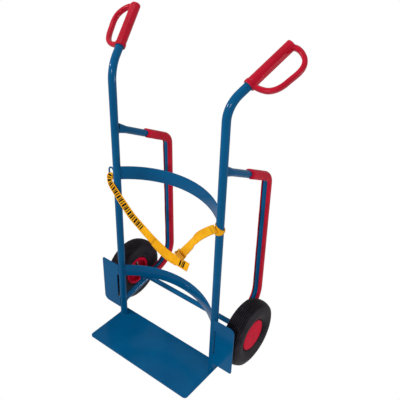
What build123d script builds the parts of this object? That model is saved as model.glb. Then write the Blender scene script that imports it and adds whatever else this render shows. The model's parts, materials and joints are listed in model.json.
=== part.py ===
from build123d import *
import math
import os

os.makedirs("parts", exist_ok=True)

# ---------------------------------------------------------------- driving dimensions (mm)
# Frame: X to the right seen from the load side, -Y to the load (toe plate) side,
# +Y to the wheels and grips, Z up from the floor. Left is -X, right is +X.
tube_d = 26.9                 # main tube, 3/4 inch gas pipe size
tube_wall = 2.0
tube_x = 222.5                # main tube axis from the middle
plate_t = 5.0                 # toe plate thickness
corner_z = 1039.0             # height at which the unbent tube legs would meet
tube_bend_r = 90.0
grip_dir = (0.2880, 0.7720, 0.5670)   # upper leg direction on the right side
grip_start = 80.5             # from the unbent corner to the sleeve
grip_end = 251.0
tube_end = 240.0

toe_half = 237.5
toe_front = -173.0
toe_back = 29.5
toe_corner_r = 13.0

runner_d = 25.0
runner_wall = 1.5
runner_x = 220.0
arm_y0, arm_z0 = 12.0, 826.6
arm_corner = (265.5, 697.3)
low_corner = (281.9, 134.0)
strut_y0, strut_z0 = 12.0, 80.0
arm_bend_r = 38.0
low_bend_r = 90.0
swage_len = 42.0              # the runner ends are pressed to an oval over this length
swage_tall = 17.2
swage_wide = 8.4

strip_out_r = 17.8
strip_in_r = 12.5
strip_slot_half = 40.0        # degrees, half of the opening of the clip-on profile

band_t = 5.0
upper_band = (635.4, 685.4, -8.1, 91.9)      # bottom, top, y at the tube axis, y at the middle
lower_band = (204.4, 254.4, -10.7, 83.2)

guard_in = 229.4
guard_out = 314.5
guard_low = 40.5
guard_high = 252.0
guard_t = 4.0
guard_y = -13.45              # front face
guard_slit_x = 236.3
guard_slit = (91.0, 205.0)

axle_d = 20.0
axle_y = 122.0
axle_z = 128.0
axle_half = 310.5

wheel_x = 284.0
tyre_r = 128.0
tyre_half = 38.0
side_r = 90.0                 # radius at which the sidewalls bulge out most
tyre_wall = 7.0
rim_flange_r = 59.0
rim_half = 26.0
bead_r = 50.0
hub_in = 257.0                # inboard end of the hub
hub_out = 305.0
hub_bore_d = 30.0
hub_d = 36.0
run_gap = 0.05                # radial running clearance of the roller bearing on the axle

web_w = 30.0                  # webbing width
web_t = 2.0
strap_y = -17.0               # the strap lies just in front of the tubes

tube_r = tube_d / 2


# ---------------------------------------------------------------- helpers
def save(piece, node):
    piece.part.label = node
    export_step(piece.part, "parts/" + node + ".step")


def bent_line(corners, radii):
    # Straight legs joined by tangent arcs; used inside a BuildLine.
    start = Vector(*corners[0])
    for i in range(1, len(corners) - 1):
        corner = Vector(*corners[i])
        back = (Vector(*corners[i - 1]) - corner).normalized()
        ahead = (Vector(*corners[i + 1]) - corner).normalized()
        half = math.radians(back.get_angle(ahead)) / 2
        setback = radii[i - 1] / math.tan(half)
        arc_in = corner + back * setback
        arc_out = corner + ahead * setback
        reach = radii[i - 1] / math.sin(half) - radii[i - 1]
        arc_mid = corner + (back + ahead).normalized() * reach
        Line(start, arc_in)
        ThreePointArc(arc_in, arc_mid, arc_out)
        start = arc_out
    Line(start, Vector(*corners[-1]))


def along(point, direction, distance):
    return tuple(p + d * distance for p, d in zip(point, direction))


def unit(vector):
    size = math.sqrt(sum(v * v for v in vector))
    return tuple(v / size for v in vector)


def minus(a, b):
    return tuple(p - q for p, q in zip(a, b))


def cut_main_tube(s):
    with Locations((s * tube_x, 0, 0)):
        Cylinder(tube_r, 2400, mode=Mode.SUBTRACT)


def ribbon(stations, width, thick):
    # Webbing as a ruled loft. Each station is a centre, a travel direction and a width direction;
    # the width is one number, or a list with one for each station.
    with BuildPart() as web:
        for i, (centre, travel, across) in enumerate(stations):
            with BuildSketch(Plane(origin=centre, x_dir=across, z_dir=travel)):
                Rectangle(width[i] if isinstance(width, list) else width, thick)
        loft(ruled=True)
    return web.part


# ---------------------------------------------------------------- main tubes and grips
def grip_frame(s):
    # Axis of the upper leg and the direction in which the hand guard stands out.
    axis = unit((s * grip_dir[0], grip_dir[1], grip_dir[2]))
    side = (float(s), 0.0, 0.0)
    dot = side[0] * axis[0]
    flat = unit(tuple(a - dot * b for a, b in zip(side, axis)))
    lift = (axis[1] * flat[2] - axis[2] * flat[1],
            axis[2] * flat[0] - axis[0] * flat[2],
            axis[0] * flat[1] - axis[1] * flat[0])
    swing = math.radians(12.0 * s)
    out = tuple(math.cos(swing) * f + math.sin(swing) * v for f, v in zip(flat, lift))
    return (s * tube_x, 0.0, corner_z), axis, out


def main_tube(s, node):
    corner, axis, out = grip_frame(s)
    with BuildPart() as tube:
        with BuildLine() as path:
            bent_line([(s * tube_x, 0, plate_t), corner, along(corner, axis, tube_end)], [tube_bend_r])
        with BuildSketch(Plane(origin=(s * tube_x, 0, plate_t), z_dir=(0, 0, 1))):
            Circle(tube_r)
            Circle(tube_r - tube_wall, mode=Mode.SUBTRACT)
        sweep(path=path.wires()[0])
    save(tube, node)


# Hand guard centre line: distance along the grip axis, distance out from it.
bow_line = [(242.0, 6.0), (247.0, 24.0), (244.5, 42.0), (236.5, 60.0), (222.0, 72.0),
            (200.0, 76.5), (168.0, 74.5), (142.0, 72.0), (121.0, 65.0), (105.0, 52.5),
            (96.0, 36.0), (91.0, 18.0), (90.0, 6.0)]
sleeve_r = 16.6
collar_r = 18.6
bow_wide = 15.5
bow_thick = 15.0


def grip(s, node):
    corner, axis, out = grip_frame(s)
    base = Plane(origin=along(corner, axis, grip_start), x_dir=out, z_dir=axis)
    length = grip_end - grip_start
    with BuildPart() as handle:
        with BuildSketch(base):
            Circle(sleeve_r)
        extrude(amount=length)
        with BuildSketch(base):
            Circle(collar_r)
        extrude(amount=13)
        with BuildLine() as path:
            Spline([along(along(corner, axis, p), out, q) for p, q in bow_line])
        start = path.wires()[0] @ 0
        tangent = path.wires()[0] % 0
        with BuildSketch(Plane(origin=start, x_dir=axis, z_dir=tangent)):
            RectangleRounded(bow_wide, bow_thick, 5.5)
        sweep(path=path.wires()[0])
        with BuildSketch(base):
            Circle(tube_r)
        extrude(amount=tube_end - grip_start, mode=Mode.SUBTRACT)
        rims = [e for e in handle.edges().filter_by(GeomType.CIRCLE)
                if abs(e.radius - sleeve_r) < 0.01
                and (e.center() - base.origin).dot(Vector(*axis)) > length - 1]
        if rims:
            fillet(rims, radius=2.4)
    save(handle, node)


# ---------------------------------------------------------------- runners with glide strips
def runner_points(s):
    return [(s * runner_x, arm_y0, arm_z0), (s * runner_x, arm_corner[0], arm_corner[1]),
            (s * runner_x, low_corner[0], low_corner[1]), (s * runner_x, strut_y0, strut_z0)]


def swage(root, inner, x_dir):
    # Pressed end: oval at the main tube, round at the start of the runner.
    travel = unit(minus(inner, root))
    with BuildPart() as shell:
        for wall, mode in ((0.0, Mode.ADD), (runner_wall, Mode.SUBTRACT)):
            with BuildSketch(Plane(origin=root, x_dir=x_dir, z_dir=travel)):
                Ellipse(swage_wide - wall, swage_tall - wall)
            with BuildSketch(Plane(origin=inner, x_dir=x_dir, z_dir=travel)):
                Circle(runner_d / 2 - wall)
            loft(mode=mode)
    return shell.part


def runner_tube(s, node):
    points = runner_points(s)
    arm = unit(minus(points[1], points[0]))
    strut = unit(minus(points[2], points[3]))
    arm_round = along(points[0], arm, swage_len)
    strut_round = along(points[3], strut, swage_len)
    with BuildPart() as runner:
        with BuildLine() as path:
            bent_line([arm_round, points[1], points[2], strut_round], [arm_bend_r, low_bend_r])
        with BuildSketch(Plane(origin=arm_round, x_dir=(1, 0, 0), z_dir=arm)):
            Circle(runner_d / 2)
            Circle(runner_d / 2 - runner_wall, mode=Mode.SUBTRACT)
        sweep(path=path.wires()[0])
        add(swage(points[0], arm_round, (1, 0, 0)))
        add(swage(points[3], strut_round, (1, 0, 0)))
        cut_main_tube(s)
        with Locations((0, axle_y, axle_z)):
            Cylinder(axle_d / 2, 700, rotation=(0, 90, 0), mode=Mode.SUBTRACT)
    save(runner, node)


strip_arm_from = 150.0        # distance down the arm at which the strip starts
strip_strut_from = 176.0      # distance along the strut at which it ends


def glide_strip(s, node):
    points = runner_points(s)
    arm = unit(minus(points[1], points[0]))
    strut = unit(minus(points[2], points[3]))
    arm_start = along(points[0], arm, strip_arm_from)
    strut_stop = along(points[3], strut, strip_strut_from)
    with BuildPart() as strip:
        with BuildLine() as path:
            bent_line([arm_start, points[1], points[2], strut_stop], [arm_bend_r, low_bend_r])
        with BuildSketch(Plane(origin=arm_start, x_dir=(1, 0, 0), z_dir=arm)) as section:
            Circle(strip_out_r)
            Circle(strip_in_r, mode=Mode.SUBTRACT)
            # The slot opens to the inside of the bow, which is below the arm at this end.
            reach = 2 * strip_out_r
            half = math.radians(strip_slot_half)
            sign = slot_sign(arm)
            with BuildLine():
                Polyline((0, 0), (reach * math.sin(half), sign * reach * math.cos(half)),
                         (-reach * math.sin(half), sign * reach * math.cos(half)), (0, 0))
            make_face(mode=Mode.SUBTRACT)
        sweep(path=path.wires()[0])
    save(strip, node)


def slot_sign(travel):
    # Which way the sketch's own y axis points: the slot must face down and forward.
    local_y = Vector(*travel).cross(Vector(1, 0, 0))
    return 1 if local_y.Z < 0 else -1


# ---------------------------------------------------------------- crossbands, toe plate, guards
def crossband(levels, node):
    low, high, y_end, y_mid = levels
    sag = y_mid - y_end
    radius = (tube_x * tube_x + sag * sag) / (2 * sag)
    centre_y = y_mid - radius
    stop_x = tube_x - 5.0
    half = math.asin(stop_x / radius)
    with BuildPart() as band:
        with BuildSketch(Plane.XY.offset(low)):
            with BuildLine():
                inner = []
                outer = []
                for angle in (-half, 0.0, half):
                    for r, store in ((radius, inner), (radius + band_t, outer)):
                        store.append((r * math.sin(angle), centre_y + r * math.cos(angle)))
                ThreePointArc(*inner)
                Line(inner[2], outer[2])
                ThreePointArc(outer[2], outer[1], outer[0])
                Line(outer[0], inner[0])
            make_face()
        extrude(amount=high - low)
        for s in (-1, 1):
            cut_main_tube(s)
    save(band, node)


with BuildPart() as toe_plate:
    with BuildSketch(Plane.XY):
        with BuildLine():
            r = toe_corner_r
            d = r * (1 - math.sqrt(0.5))
            Polyline((-toe_half, toe_front + r), (-toe_half, toe_back), (toe_half, toe_back),
                     (toe_half, toe_front + r))
            ThreePointArc((toe_half, toe_front + r), (toe_half - d, toe_front + d), (toe_half - r, toe_front))
            Line((toe_half - r, toe_front), (-toe_half + r, toe_front))
            ThreePointArc((-toe_half + r, toe_front), (-toe_half + d, toe_front + d),
                          (-toe_half, toe_front + r))
        make_face()
    extrude(amount=plate_t)
    chamfer(toe_plate.faces().sort_by(Axis.Z)[-1].edges(), length=0.7)
save(toe_plate, "toe_plate")


def wheel_guard(s, node):
    # One pressed plate for both sides, turned end for end: the large corner radius is at the
    # top on the right and at the bottom on the left.
    r_top, r_low = (20.0, 8.0) if s > 0 else (8.0, 20.0)
    k = 1 - math.sqrt(0.5)
    with BuildPart() as guard:
        with BuildSketch(Plane.XZ.offset(-guard_y)):
            with BuildLine():
                Polyline((s * (guard_out - r_low), guard_low), (s * guard_in, guard_low),
                         (s * guard_in, guard_slit[0] - 4), (s * guard_slit_x, guard_slit[0]),
                         (s * guard_slit_x, guard_slit[1]), (s * guard_in, guard_slit[1] + 4),
                         (s * guard_in, guard_high), (s * (guard_out - r_top), guard_high))
                ThreePointArc((s * (guard_out - r_top), guard_high),
                              (s * (guard_out - k * r_top), guard_high - k * r_top),
                              (s * guard_out, guard_high - r_top))
                Line((s * guard_out, guard_high - r_top), (s * guard_out, guard_low + r_low))
                ThreePointArc((s * guard_out, guard_low + r_low),
                              (s * (guard_out - k * r_low), guard_low + k * r_low),
                              (s * (guard_out - r_low), guard_low))
            make_face()
        extrude(amount=-guard_t)
        chamfer(guard.faces().sort_by(Axis.Y)[0].edges(), length=0.5)
        cut_main_tube(s)
    save(guard, node)


# ---------------------------------------------------------------- axle and wheels
with BuildPart() as axle:
    with Locations((0, axle_y, axle_z)):
        Cylinder(axle_d / 2, 2 * axle_half, rotation=(0, 90, 0))
    chamfer(axle.edges().filter_by(GeomType.CIRCLE), length=1.5)
    for s in (-1, 1):
        with Locations((s * (hub_out + 3.6), axle_y, axle_z)):
            Cylinder(1.6, 40, mode=Mode.SUBTRACT)
save(axle, "axle")


def saddle(s, node):
    # Seat block between the strut and the axle.
    with BuildPart() as seat:
        with Locations((s * runner_x, axle_y, axle_z - 11)):
            Box(15, 34, 20)
        points = runner_points(s)
        strut = unit(minus(points[2], points[3]))
        middle = along(points[3], strut, 115)
        with BuildSketch(Plane(origin=middle, x_dir=(1, 0, 0), z_dir=strut)):
            Circle(runner_d / 2)
        extrude(amount=70, both=True, mode=Mode.SUBTRACT)
        with Locations((s * runner_x, axle_y, axle_z)):
            Cylinder(axle_d / 2, 60, rotation=(0, 90, 0), mode=Mode.SUBTRACT)
        with Locations((s * runner_x, axle_y, axle_z - 50)):
            Box(60, 80, 46, mode=Mode.SUBTRACT)
    save(seat, node)


def lathe(profile):
    # A closed profile of (distance along the wheel axis, radius) turned about the X axis.
    with BuildPart() as turned:
        with BuildSketch(Plane.XY):
            with BuildLine():
                Polyline(*profile, profile[0])
            make_face()
        revolve(axis=Axis.X, revolution_arc=360)
    return turned.part


def place(piece, s, node):
    # Wheel pieces are turned about X at the origin with the outboard side at +X.
    with BuildPart() as placed:
        body = piece.part if s > 0 else piece.part.mirror(Plane.YZ)
        add(body.moved(Location((s * wheel_x, axle_y, axle_z))))
    save(placed, node)


def tube_outline(bead_x, knee, bulge, shoulder, crown):
    # Closed outline across a tyre or its inner tube, from (x, radius) points on one side.
    (knee_x, knee_r), (shoulder_x, shoulder_r) = knee, shoulder
    Line((-bead_x[1], bead_x[0]), (bead_x[1], bead_x[0]))
    Line((bead_x[1], bead_x[0]), (knee_x, knee_r))
    ThreePointArc((knee_x, knee_r), (bulge, side_r), (shoulder_x, shoulder_r))
    ThreePointArc((shoulder_x, shoulder_r), (0, crown), (-shoulder_x, shoulder_r))
    ThreePointArc((-shoulder_x, shoulder_r), (-bulge, side_r), (-knee_x, knee_r))
    Line((-knee_x, knee_r), (-bead_x[1], bead_x[0]))


bead_out = rim_half - 3.5     # the bead sits against the flange
bead_in = rim_half - 12.0

with BuildPart() as tyre:
    with BuildSketch(Plane.XY):
        with BuildLine():
            tube_outline((bead_r, bead_out), (bead_out, rim_flange_r + 0.3), tyre_half, (29.9, 119.6), tyre_r)
        make_face()
        with BuildLine():
            tube_outline((bead_r, bead_in), (15.7, 61.0), tyre_half - tyre_wall, (22.6, 112.2), tyre_r - 10)
        make_face(mode=Mode.SUBTRACT)
    revolve(axis=Axis.X, revolution_arc=360)
    # Circumferential grooves between the tread ribs.
    for gx, depth in ((-20.0, 3.8), (-6.7, 1.7), (6.7, 1.7), (20.0, 3.8)):
        rr = tyre_r - depth
        with BuildSketch(Plane.XY):
            with BuildLine():
                Polyline((gx - 1.8, rr + 3.5), (gx + 1.8, rr + 3.5), (gx + 1.0, rr - 2.6),
                         (gx - 1.0, rr - 2.6), (gx - 1.8, rr + 3.5))
            make_face()
        revolve(axis=Axis.X, revolution_arc=360, mode=Mode.SUBTRACT)

with BuildPart() as inner_tube:
    with BuildSketch(Plane.XY):
        with BuildLine():
            tube_outline((bead_r + 0.4, 13.2), (14.9, 61.3), tyre_half - tyre_wall - 0.6,
                         (22.2, 111.6), tyre_r - 10.6)
        make_face()
        with BuildLine():
            tube_outline((bead_r + 2.4, 11.0), (12.9, 61.6), tyre_half - tyre_wall - 2.6,
                         (20.6, 109.8), tyre_r - 12.6)
        make_face(mode=Mode.SUBTRACT)
    revolve(axis=Axis.X, revolution_arc=360)


def rim_profile():
    # Pressed half rim, 2.5 mm sheet: web, dished cone, bead seat, flange.
    t = 2.5
    return [(0, hub_d / 2), (t, hub_d / 2), (t, 33.0), (9.0 + t, 44.5), (rim_half - 1.0 - t, bead_r - t),
            (rim_half - 0.6, bead_r - t), (rim_half, bead_r - t + 0.6), (rim_half, rim_flange_r - 0.8),
            (rim_half - 0.8, rim_flange_r), (rim_half - 2.7, rim_flange_r),
            (rim_half - 3.5, rim_flange_r - 0.8), (rim_half - 3.5, bead_r), (8.6, bead_r), (0, 34.5)]


valve_x = 10.0                # valve hole from the middle of the wheel, on the inboard side
valve_r = 3.2
valve_lean = unit((-1.0, 0, -0.55))
valve_knee = (-valve_x, 0, 38.5)
bolt_circle = 26.0
bolt_count = 4

with BuildPart() as rim_outer:
    add(lathe(rim_profile()))
    for i in range(bolt_count):
        a = math.radians(45 + 90 * i)
        with Locations((1.0, bolt_circle * math.cos(a), bolt_circle * math.sin(a))):
            Cylinder(3.1, 12, rotation=(0, 90, 0), mode=Mode.SUBTRACT)

with BuildPart() as rim_inner:
    add(lathe([(-x, r) for x, r in rim_profile()]))
    for i in range(bolt_count):
        a = math.radians(45 + 90 * i)
        with Locations((-1.0, bolt_circle * math.cos(a), bolt_circle * math.sin(a))):
            Cylinder(3.1, 12, rotation=(0, 90, 0), mode=Mode.SUBTRACT)
    # Hole in the bead seat for the valve, which leans out to the inboard side.
    with Locations((-valve_x, 0, 46.0)):
        Cylinder(valve_r + 0.2, 20, mode=Mode.SUBTRACT)

with BuildPart() as rim_bolts:
    for i in range(bolt_count):
        a = math.radians(45 + 90 * i)
        y, z = bolt_circle * math.cos(a), bolt_circle * math.sin(a)
        with Locations((0, y, z)):
            Cylinder(3.0, 15.0, rotation=(0, 90, 0))
        for x, depth in ((2.5, 4.0), (-2.5 - 5.0, 5.0)):
            with BuildSketch(Plane(origin=(x, y, z), x_dir=(0, 1, 0), z_dir=(1, 0, 0))):
                RegularPolygon(radius=5.6, side_count=6)
            extrude(amount=depth)

with BuildPart() as hub_tube:
    add(lathe([(hub_in - wheel_x, hub_bore_d / 2), (hub_out - wheel_x, hub_bore_d / 2),
               (hub_out - wheel_x, hub_d / 2), (hub_in - wheel_x, hub_d / 2)]))

with BuildPart() as bearing:
    # Caged needle roller insert: sleeve with flanges; rollers show as ribs at the ends.
    add(lathe([(hub_in - wheel_x + 0.5, axle_d / 2 + run_gap),
               (hub_out - wheel_x - 0.5, axle_d / 2 + run_gap),
               (hub_out - wheel_x - 0.5, hub_bore_d / 2), (hub_in - wheel_x + 0.5, hub_bore_d / 2)]))

with BuildPart() as hub_cap:
    # Flat cover disc pressed over the outboard flange, slightly crowned, with a rolled rim.
    x0 = rim_half
    add(lathe([(x0, bead_r + 2), (x0, rim_flange_r - 0.6), (x0 + 0.6, rim_flange_r + 0.1),
               (x0 + 1.8, rim_flange_r + 0.1), (x0 + 2.6, rim_flange_r - 1.2), (x0 + 2.8, 56.0),
               (x0 + 3.6, 30.0), (x0 + 3.9, 0.0), (x0 + 2.4, 0.0), (x0 + 2.1, 30.0), (x0 + 1.3, bead_r + 2)]))

with BuildPart() as valve_stem:
    stem_low, stem_high = 35.3, bead_r + 0.28
    with Locations((-valve_x, 0, (stem_low + stem_high) / 2)):
        Cylinder(valve_r, stem_high - stem_low)
    with BuildSketch(Plane(origin=valve_knee, x_dir=(0, 1, 0), z_dir=valve_lean)):
        Circle(valve_r)
    extrude(amount=18)

with BuildPart() as valve_cap:
    with BuildSketch(Plane(origin=along(valve_knee, valve_lean, 18.0), x_dir=(0, 1, 0), z_dir=valve_lean)):
        Circle(4.0)
    extrude(amount=8)
    fillet(valve_cap.faces().sort_by(Axis.X)[0].edges(), radius=1.0)

wheel_pieces = [("tyre", tyre), ("inner_tube", inner_tube),
                ("rim_outer", rim_outer), ("rim_inner", rim_inner),
                ("rim_bolts", rim_bolts), ("hub_tube", hub_tube), ("roller_bearing", bearing),
                ("hub_cap", hub_cap), ("valve_stem", valve_stem), ("valve_cap", valve_cap)]


def axle_spacer(s, node):
    # Sleeve that holds the wheel off the runner strut.
    x0 = runner_x + 12.6
    x1 = hub_in - 0.6
    with BuildPart() as spacer:
        with Locations((s * (x0 + x1) / 2, axle_y, axle_z)):
            Cylinder(13.5, x1 - x0, rotation=(0, 90, 0))
            Cylinder(axle_d / 2, x1 - x0 + 4, rotation=(0, 90, 0), mode=Mode.SUBTRACT)
        chamfer(spacer.edges().filter_by(GeomType.CIRCLE).filter_by(lambda e: e.radius > 12), length=0.6)
    save(spacer, node)


def axle_washer(s, node):
    with BuildPart() as washer:
        with Locations((s * (hub_out + 1.1), axle_y, axle_z)):
            Cylinder(16.0, 1.4, rotation=(0, 90, 0))
            Cylinder(axle_d / 2, 10, rotation=(0, 90, 0), mode=Mode.SUBTRACT)
    save(washer, node)


def cotter_pin(s, node):
    # Split pin through the axle end.
    with BuildPart() as pin:
        with Locations((s * (hub_out + 3.6), axle_y, axle_z)):
            Cylinder(1.6, 31)
        with Locations((s * (hub_out + 3.6), axle_y, axle_z + 17.2)):
            Torus(2.6, 1.2, rotation=(0, 90, 0))
    save(pin, node)


# ---------------------------------------------------------------- lashing strap
eye_wire_r = 3.0
eye_x = (-tube_x - tube_r - eye_wire_r + 0.2, -260.0)
eye_z = (638.0, 671.0)

with BuildPart() as strap_eye:
    rr = abs(eye_x[1] - eye_x[0]) / 2
    xm = (eye_x[0] + eye_x[1]) / 2
    with BuildLine() as eye_path:
        Line((eye_x[0], 0, eye_z[0] + rr), (eye_x[0], 0, eye_z[1] - rr))
        ThreePointArc((eye_x[0], 0, eye_z[1] - rr), (xm, 0, eye_z[1]), (eye_x[1], 0, eye_z[1] - rr))
        Line((eye_x[1], 0, eye_z[1] - rr), (eye_x[1], 0, eye_z[0] + rr))
        ThreePointArc((eye_x[1], 0, eye_z[0] + rr), (xm, 0, eye_z[0]), (eye_x[0], 0, eye_z[0] + rr))
    with BuildSketch(Plane(origin=(eye_x[0], 0, eye_z[0] + rr), z_dir=(0, 0, 1))):
        Circle(eye_wire_r)
    sweep(path=eye_path.wires()[0])
    cut_main_tube(-1)
save(strap_eye, "strap_eye")


def flat_run(points, y):
    # Stations for webbing lying flat in front of the tubes, from (x, z) points.
    stations = []
    for i, (x, z) in enumerate(points):
        before = points[max(i - 1, 0)]
        after = points[min(i + 1, len(points) - 1)]
        travel = unit((after[0] - before[0], 0.0, after[1] - before[1]))
        across = (-travel[2], 0.0, travel[0])
        stations.append(((x, y, z), travel, across))
    return stations


left_line = [(-219.0, 600.0), (-184.0, 565.0), (-144.5, 528.5), (-107.0, 503.5), (-69.5, 481.0),
             (-30.5, 460.0), (12.5, 442.5), (35.5, 437.0), (62.5, 435.5)]

with BuildPart() as strap_left:
    add(ribbon(flat_run(left_line, strap_y), web_w, web_t))
save(strap_left, "strap_left")

# Sewn loop bunched through the eye, with the run that spreads from it to the full width.
loop_z = eye_z[0] + 1.6
loop_inner = 5.2
loop_len = 13.0

with BuildPart() as strap_eye_loop:
    with Locations((xm, 0, loop_z)):
        Cylinder(loop_inner + web_t, loop_len, rotation=(0, 90, 0))
    add(ribbon([((xm - 3.0, -loop_inner - 1.0, loop_z - 3.0), unit((0.10, -0.25, -1.0)),
                 unit((1.0, 0.0, 0.10))),
                ((-249.6, -9.5, 628.0), unit((0.35, -0.30, -0.90)), unit((0.93, 0.0, 0.36))),
                ((-243.7, -13.0, 619.8), unit((0.50, -0.30, -0.84)), unit((0.86, 0.0, 0.51))),
                ((-234.5, -16.0, 610.8), unit((0.62, -0.15, -0.75)), unit((0.77, 0.0, 0.64))),
                flat_run(left_line, strap_y)[0]], [loop_len, 21.0, 27.0, web_w, web_w], web_t))
    with Locations((xm, 0, loop_z)):
        Cylinder(loop_inner, 40, rotation=(0, 90, 0), mode=Mode.SUBTRACT)
save(strap_eye_loop, "strap_eye_loop")

buckle_at = (83.0, -22.5, 466.0)
buckle_up = unit((0.51, 0.0, 0.86))
buckle_across = unit((0.86, 0.0, -0.51))
buckle = Plane(origin=buckle_at, x_dir=buckle_across, z_dir=(0, -1, 0))


def in_buckle(x, y, z=0.0):
    return (buckle_at[0] + buckle_across[0] * x + buckle_up[0] * y,
            buckle_at[1] - z,
            buckle_at[2] + buckle_across[2] * x + buckle_up[2] * y)


right_low = in_buckle(0, 18.6, 0)
right_line = [(right_low[0], right_low[2]), (106.5, 500.5), (122.0, 524.5), (135.0, 546.5), (147.5, 566.0),
              (160.0, 582.0), (175.5, 598.5), (191.0, 613.5), (203.5, 625.0)]

with BuildPart() as strap_right:
    add(ribbon(flat_run(right_line, strap_y), web_w, web_t))
save(strap_right, "strap_right")

# Sewn loop that carries the right strap round the main tube just below the upper crossband.
tube_loop_low = 605.0
with BuildPart() as strap_tube_loop:
    with BuildSketch(Plane.XY.offset(tube_loop_low)):
        loop_in = tube_r + 0.5
        with Locations((tube_x, 0)):
            Circle(loop_in + web_t)
        with Locations((tube_x - 9, -loop_in - web_t / 2)):
            Rectangle(18.0, web_t)
        with Locations((tube_x, 0)):
            Circle(loop_in, mode=Mode.SUBTRACT)
    extrude(amount=web_w)
save(strap_tube_loop, "strap_tube_loop")

with BuildPart() as strap_tail:
    tail_line = [(65.0, 438.0), (92.0, 437.0), (121.0, 435.5)]
    add(ribbon(flat_run(tail_line, strap_y), web_w, web_t))
save(strap_tail, "strap_tail")

cheek_x = web_w / 2 + 2       # inside faces of the cheeks
cheek_t = 2.0
buckle_w = 2 * (cheek_x + cheek_t)
slot_w = web_w + 2
cam_w = web_w - 3.6
cam_x = 0.5 + cheek_x - cam_w - 2.1
pin_z = 3.4
pin_y = -3.0

with BuildPart() as buckle_frame:
    with BuildSketch(buckle.offset(-3.0)):
        RectangleRounded(buckle_w, 36.0, 3.0)
        with Locations((0, 12.5)):
            RectangleRounded(slot_w, 4.4, 1.2, mode=Mode.SUBTRACT)
        with Locations((0, -12.5)):
            RectangleRounded(slot_w, 4.4, 1.2, mode=Mode.SUBTRACT)
    extrude(amount=2.0)
    for sx in (-1, 1):
        side = Plane(origin=in_buckle(sx * cheek_x, 0, 0), x_dir=buckle_up,
                     z_dir=tuple(sx * v for v in buckle_across))
        with BuildSketch(side):
            sign = 1 if side.y_dir.Y < 0 else -1
            with BuildLine():
                Polyline((-11.0, -1.0 * sign), (8.0, -1.0 * sign), (3.0, 7.4 * sign), (-8.0, 7.4 * sign),
                         (-11.0, -1.0 * sign))
            make_face()
            with Locations((pin_y, pin_z * sign)):
                Circle(2.0, mode=Mode.SUBTRACT)
        extrude(amount=cheek_t)
save(buckle_frame, "buckle_frame")

with BuildPart() as buckle_pin:
    reach = buckle_w / 2 + 1.4
    start = in_buckle(-reach, pin_y, pin_z)
    with BuildSketch(Plane(origin=start, x_dir=buckle_up, z_dir=buckle_across)):
        Circle(2.0)
    extrude(amount=2 * reach)
    for at in (-reach - 1.0, buckle_w / 2):
        with BuildSketch(Plane(origin=in_buckle(at, pin_y, pin_z), x_dir=buckle_up, z_dir=buckle_across)):
            Circle(3.2)
        extrude(amount=2.4)
save(buckle_pin, "buckle_pin")

with BuildPart() as buckle_cam:
    # Cam with clamping teeth below and a ribbed thumb lever lying over the webbing.
    root = Plane(origin=in_buckle(cam_x, 0, 0), x_dir=buckle_up, z_dir=buckle_across)
    up = 1 if root.y_dir.Y < 0 else -1
    with BuildSketch(root):
        with Locations((pin_y, up * pin_z)):
            Circle(3.9)
        with BuildLine():
            Polyline((pin_y - 1.0, up * (pin_z + 2.6)), (pin_y + 18.0, up * (pin_z + 3.2)),
                     (pin_y + 20.5, up * (pin_z + 5.4)), (pin_y - 1.0, up * (pin_z + 5.2)),
                     (pin_y - 1.0, up * (pin_z + 2.6)))
        make_face()
        with Locations((pin_y, up * pin_z)):
            Circle(2.05, mode=Mode.SUBTRACT)
    extrude(amount=cam_w)
    for i in range(6):
        rib = in_buckle(cam_x + cam_w / 2, pin_y + 3.0 + 2.9 * i, pin_z + 5.4)
        with Locations(Plane(origin=rib, x_dir=buckle_across, z_dir=(0, -1, 0))):
            Box(cam_w, 1.2, 1.2)
save(buckle_cam, "buckle_cam")

with BuildPart() as buckle_spring:
    with BuildLine() as coil:
        Helix(pitch=1.3, height=3.4, radius=2.9,
              center=in_buckle(1.2 - cheek_x, pin_y, pin_z), direction=buckle_across)
    with BuildSketch(Plane(origin=coil.wires()[0] @ 0, z_dir=coil.wires()[0] % 0)):
        Circle(0.5)
    sweep(path=coil.wires()[0], is_frenet=True)
save(buckle_spring, "buckle_spring")

# ---------------------------------------------------------------- left and right pieces
crossband(upper_band, "upper_crossband")
crossband(lower_band, "lower_crossband")

for s, hand in ((-1, "left"), (1, "right")):
    main_tube(s, "main_tube_" + hand)
    grip(s, "grip_" + hand)
    runner_tube(s, "runner_tube_" + hand)
    glide_strip(s, "glide_strip_" + hand)
    wheel_guard(s, "wheel_guard_" + hand)
    saddle(s, "axle_saddle_" + hand)
    axle_spacer(s, "axle_spacer_" + hand)
    axle_washer(s, "axle_washer_" + hand)
    cotter_pin(s, "cotter_pin_" + hand)
    for name, piece in wheel_pieces:
        place(piece, s, name + "_" + hand)
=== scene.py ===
import json
import math

import bpy
import bmesh
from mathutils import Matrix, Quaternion, Vector


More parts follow.
